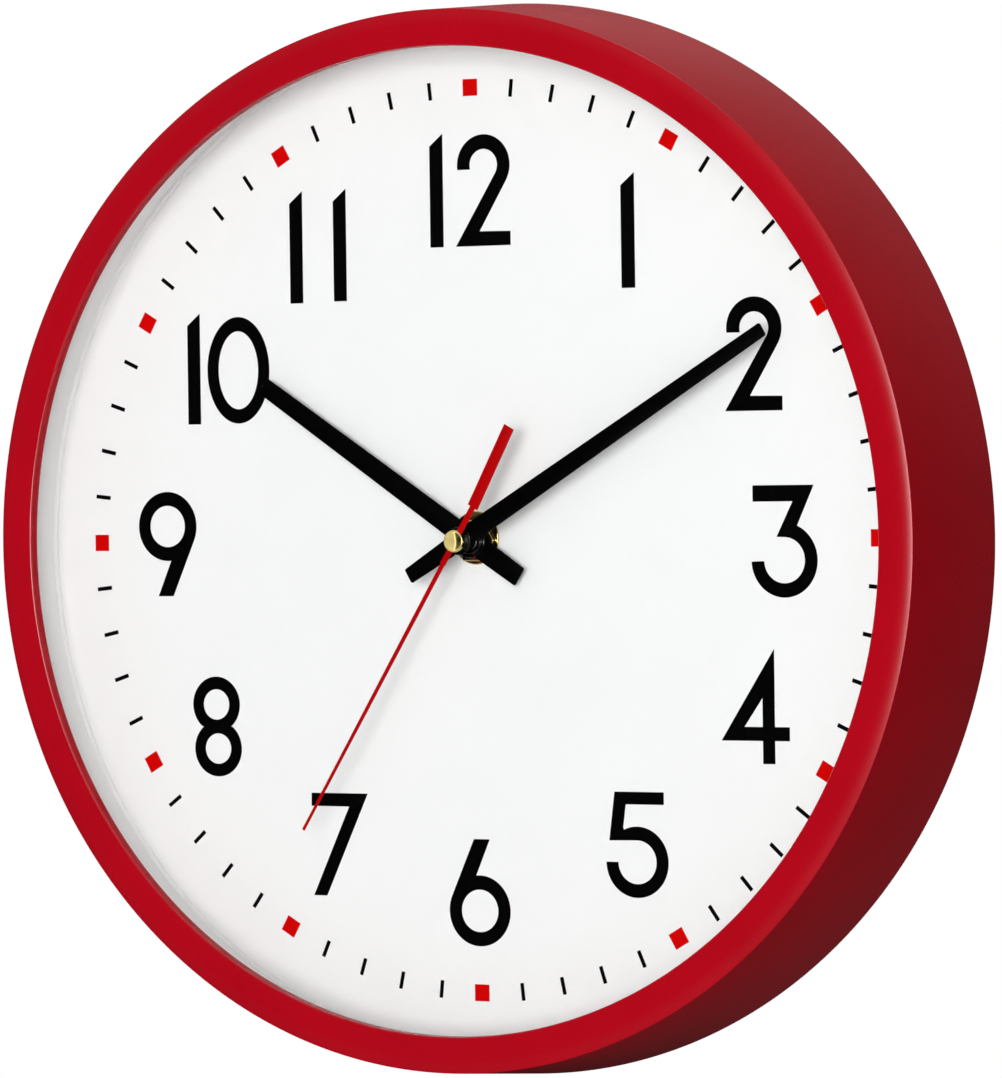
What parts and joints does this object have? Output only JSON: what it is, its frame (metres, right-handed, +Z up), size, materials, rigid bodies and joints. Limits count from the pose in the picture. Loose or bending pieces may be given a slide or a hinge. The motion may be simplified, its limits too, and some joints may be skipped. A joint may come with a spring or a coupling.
{
  "type": "wall clock",
  "caption": "Round wall clock with a red moulded case, a white dial behind a clear window, straight black hands, a red second hand and a quartz movement with its gear train.",
  "frame": {"origin": "on the axis of the hands, at half the depth of the clock", "axes": "+X right as seen from the front, +Y from the front face into the wall along the hands' axis, +Z up towards the twelve"},
  "size_m": [0.3174, 0.0448, 0.3174],
  "materials": {
    "red_case": "moulded red plastic with a fine satin grain",
    "clear_lens": "flat clear window, polished",
    "white_spacer": "moulded white plastic, matte",
    "dial_white": "printed white dial sheet, matte",
    "black_cover": "moulded black plastic, fine spark texture",
    "movement_black": "moulded black plastic, fine spark texture",
    "black_rubber": "soft black rubber, matte",
    "brass": "turned brass, polished",
    "screw_steel": "zinc plated steel",
    "black_blade": "thin aluminium blade, satin black paint",
    "black_collet": "turned collet, glossy black",
    "red_blade": "thin aluminium blade, red paint",
    "gear_white": "moulded acetal, natural white",
    "gear_tint": "moulded acetal, pale blue",
    "stator_steel": "stamped soft iron sheet",
    "copper_wire": "wound enamelled copper wire",
    "bobbin_plastic": "moulded nylon, dull red",
    "board_green": "coated circuit board",
    "chip_resin": "cured black resin",
    "crystal_can": "drawn metal can, bright",
    "contact_spring": "nickel plated spring strip",
    "battery_wrap": "printed sleeve, gloss, no marks"
  },
  "bodies": {
    "case": {"case_ring": "red_case", "lens": "clear_lens", "spacer_ring": "white_spacer", "dial_plate": "dial_white", "back_cover": "black_cover", "back_cover_screws": "screw_steel", "movement_case": "movement_black", "middle_plate": "gear_white", "movement_cover": "movement_black", "threaded_bushing": "brass", "rubber_washer": "black_rubber", "brass_washer": "brass", "hex_nut": "brass", "stator": "stator_steel", "coil_core": "stator_steel", "coil_bobbin": "bobbin_plastic", "coil_winding": "copper_wire", "circuit_board": "board_green", "control_chip": "chip_resin", "quartz_crystal": "crystal_can", "contact_positive": "contact_spring", "contact_negative": "contact_spring"},
    "minute_hand_set": {"minute_hand": "black_blade", "minute_hand_collet": "black_collet", "minute_arbor": "gear_white"},
    "hour_hand_set": {"hour_hand": "black_blade", "hour_hand_collet": "black_collet", "hour_wheel": "gear_white"},
    "minute_wheel_set": {"minute_wheel": "gear_white"},
    "setting_knob_set": {"setting_knob": "movement_black"},
    "second_hand_set": {"second_hand": "red_blade", "second_hand_cap": "brass", "seconds_wheel": "gear_tint"},
    "third_wheel_set": {"third_wheel": "gear_tint"},
    "centre_wheel_set": {"centre_wheel": "gear_tint"},
    "intermediate_wheel_set": {"intermediate_wheel": "gear_white"},
    "rotor_set": {"rotor": "gear_white"},
    "battery_set": {"battery": "battery_wrap"}
  },
  "joints": [
    {"name": "minute_hand_turn", "type": "hinge", "parent": "case", "child": "minute_hand_set", "pos_m": [0, 0, 0], "axis": [0, 1, 0], "continuous": true},
    {"name": "hour_hand_turn", "type": "hinge", "parent": "case", "child": "hour_hand_set", "pos_m": [0, 0, 0], "axis": [0, 1, 0], "continuous": true},
    {"name": "minute_wheel_turn", "type": "hinge", "parent": "case", "child": "minute_wheel_set", "pos_m": [0.01191, 0, 0.0015], "axis": [0, 1, 0], "continuous": true},
    {"name": "setting_knob_turn", "type": "hinge", "parent": "case", "child": "setting_knob_set", "pos_m": [0.0205, 0, 0.00987], "axis": [0, 1, 0], "continuous": true},
    {"name": "second_hand_turn", "type": "hinge", "parent": "case", "child": "second_hand_set", "pos_m": [0, 0, 0], "axis": [0, 1, 0], "continuous": true},
    {"name": "third_wheel_turn", "type": "hinge", "parent": "case", "child": "third_wheel_set", "pos_m": [-0.009, 0, 0.00675], "axis": [0, 1, 0], "continuous": true},
    {"name": "centre_wheel_turn", "type": "hinge", "parent": "case", "child": "centre_wheel_set", "pos_m": [0, 0, 0], "axis": [0, 1, 0], "continuous": true},
    {"name": "intermediate_wheel_turn", "type": "hinge", "parent": "case", "child": "intermediate_wheel_set", "pos_m": [0.0053, 0, 0.00727], "axis": [0, 1, 0], "continuous": true},
    {"name": "rotor_turn", "type": "hinge", "parent": "case", "child": "rotor_set", "pos_m": [0.0095, 0, 0.01495], "axis": [0, 1, 0], "continuous": true},
    {"name": "battery_slide", "type": "slide", "parent": "case", "child": "battery_set", "axis": [0, 1, 0], "range_m": [0, 0.03]}
  ],
  "couplings": [
    {"joint": "hour_hand_turn", "follows": "minute_hand_turn", "ratio": 0.083333},
    {"joint": "minute_wheel_turn", "follows": "minute_hand_turn", "ratio": -0.33333},
    {"joint": "setting_knob_turn", "follows": "minute_hand_turn", "ratio": 1},
    {"joint": "third_wheel_turn", "follows": "second_hand_turn", "ratio": -0.13333},
    {"joint": "centre_wheel_turn", "follows": "second_hand_turn", "ratio": 0.016667},
    {"joint": "intermediate_wheel_turn", "follows": "second_hand_turn", "ratio": -5},
    {"joint": "rotor_turn", "follows": "second_hand_turn", "ratio": 30}
  ]
}
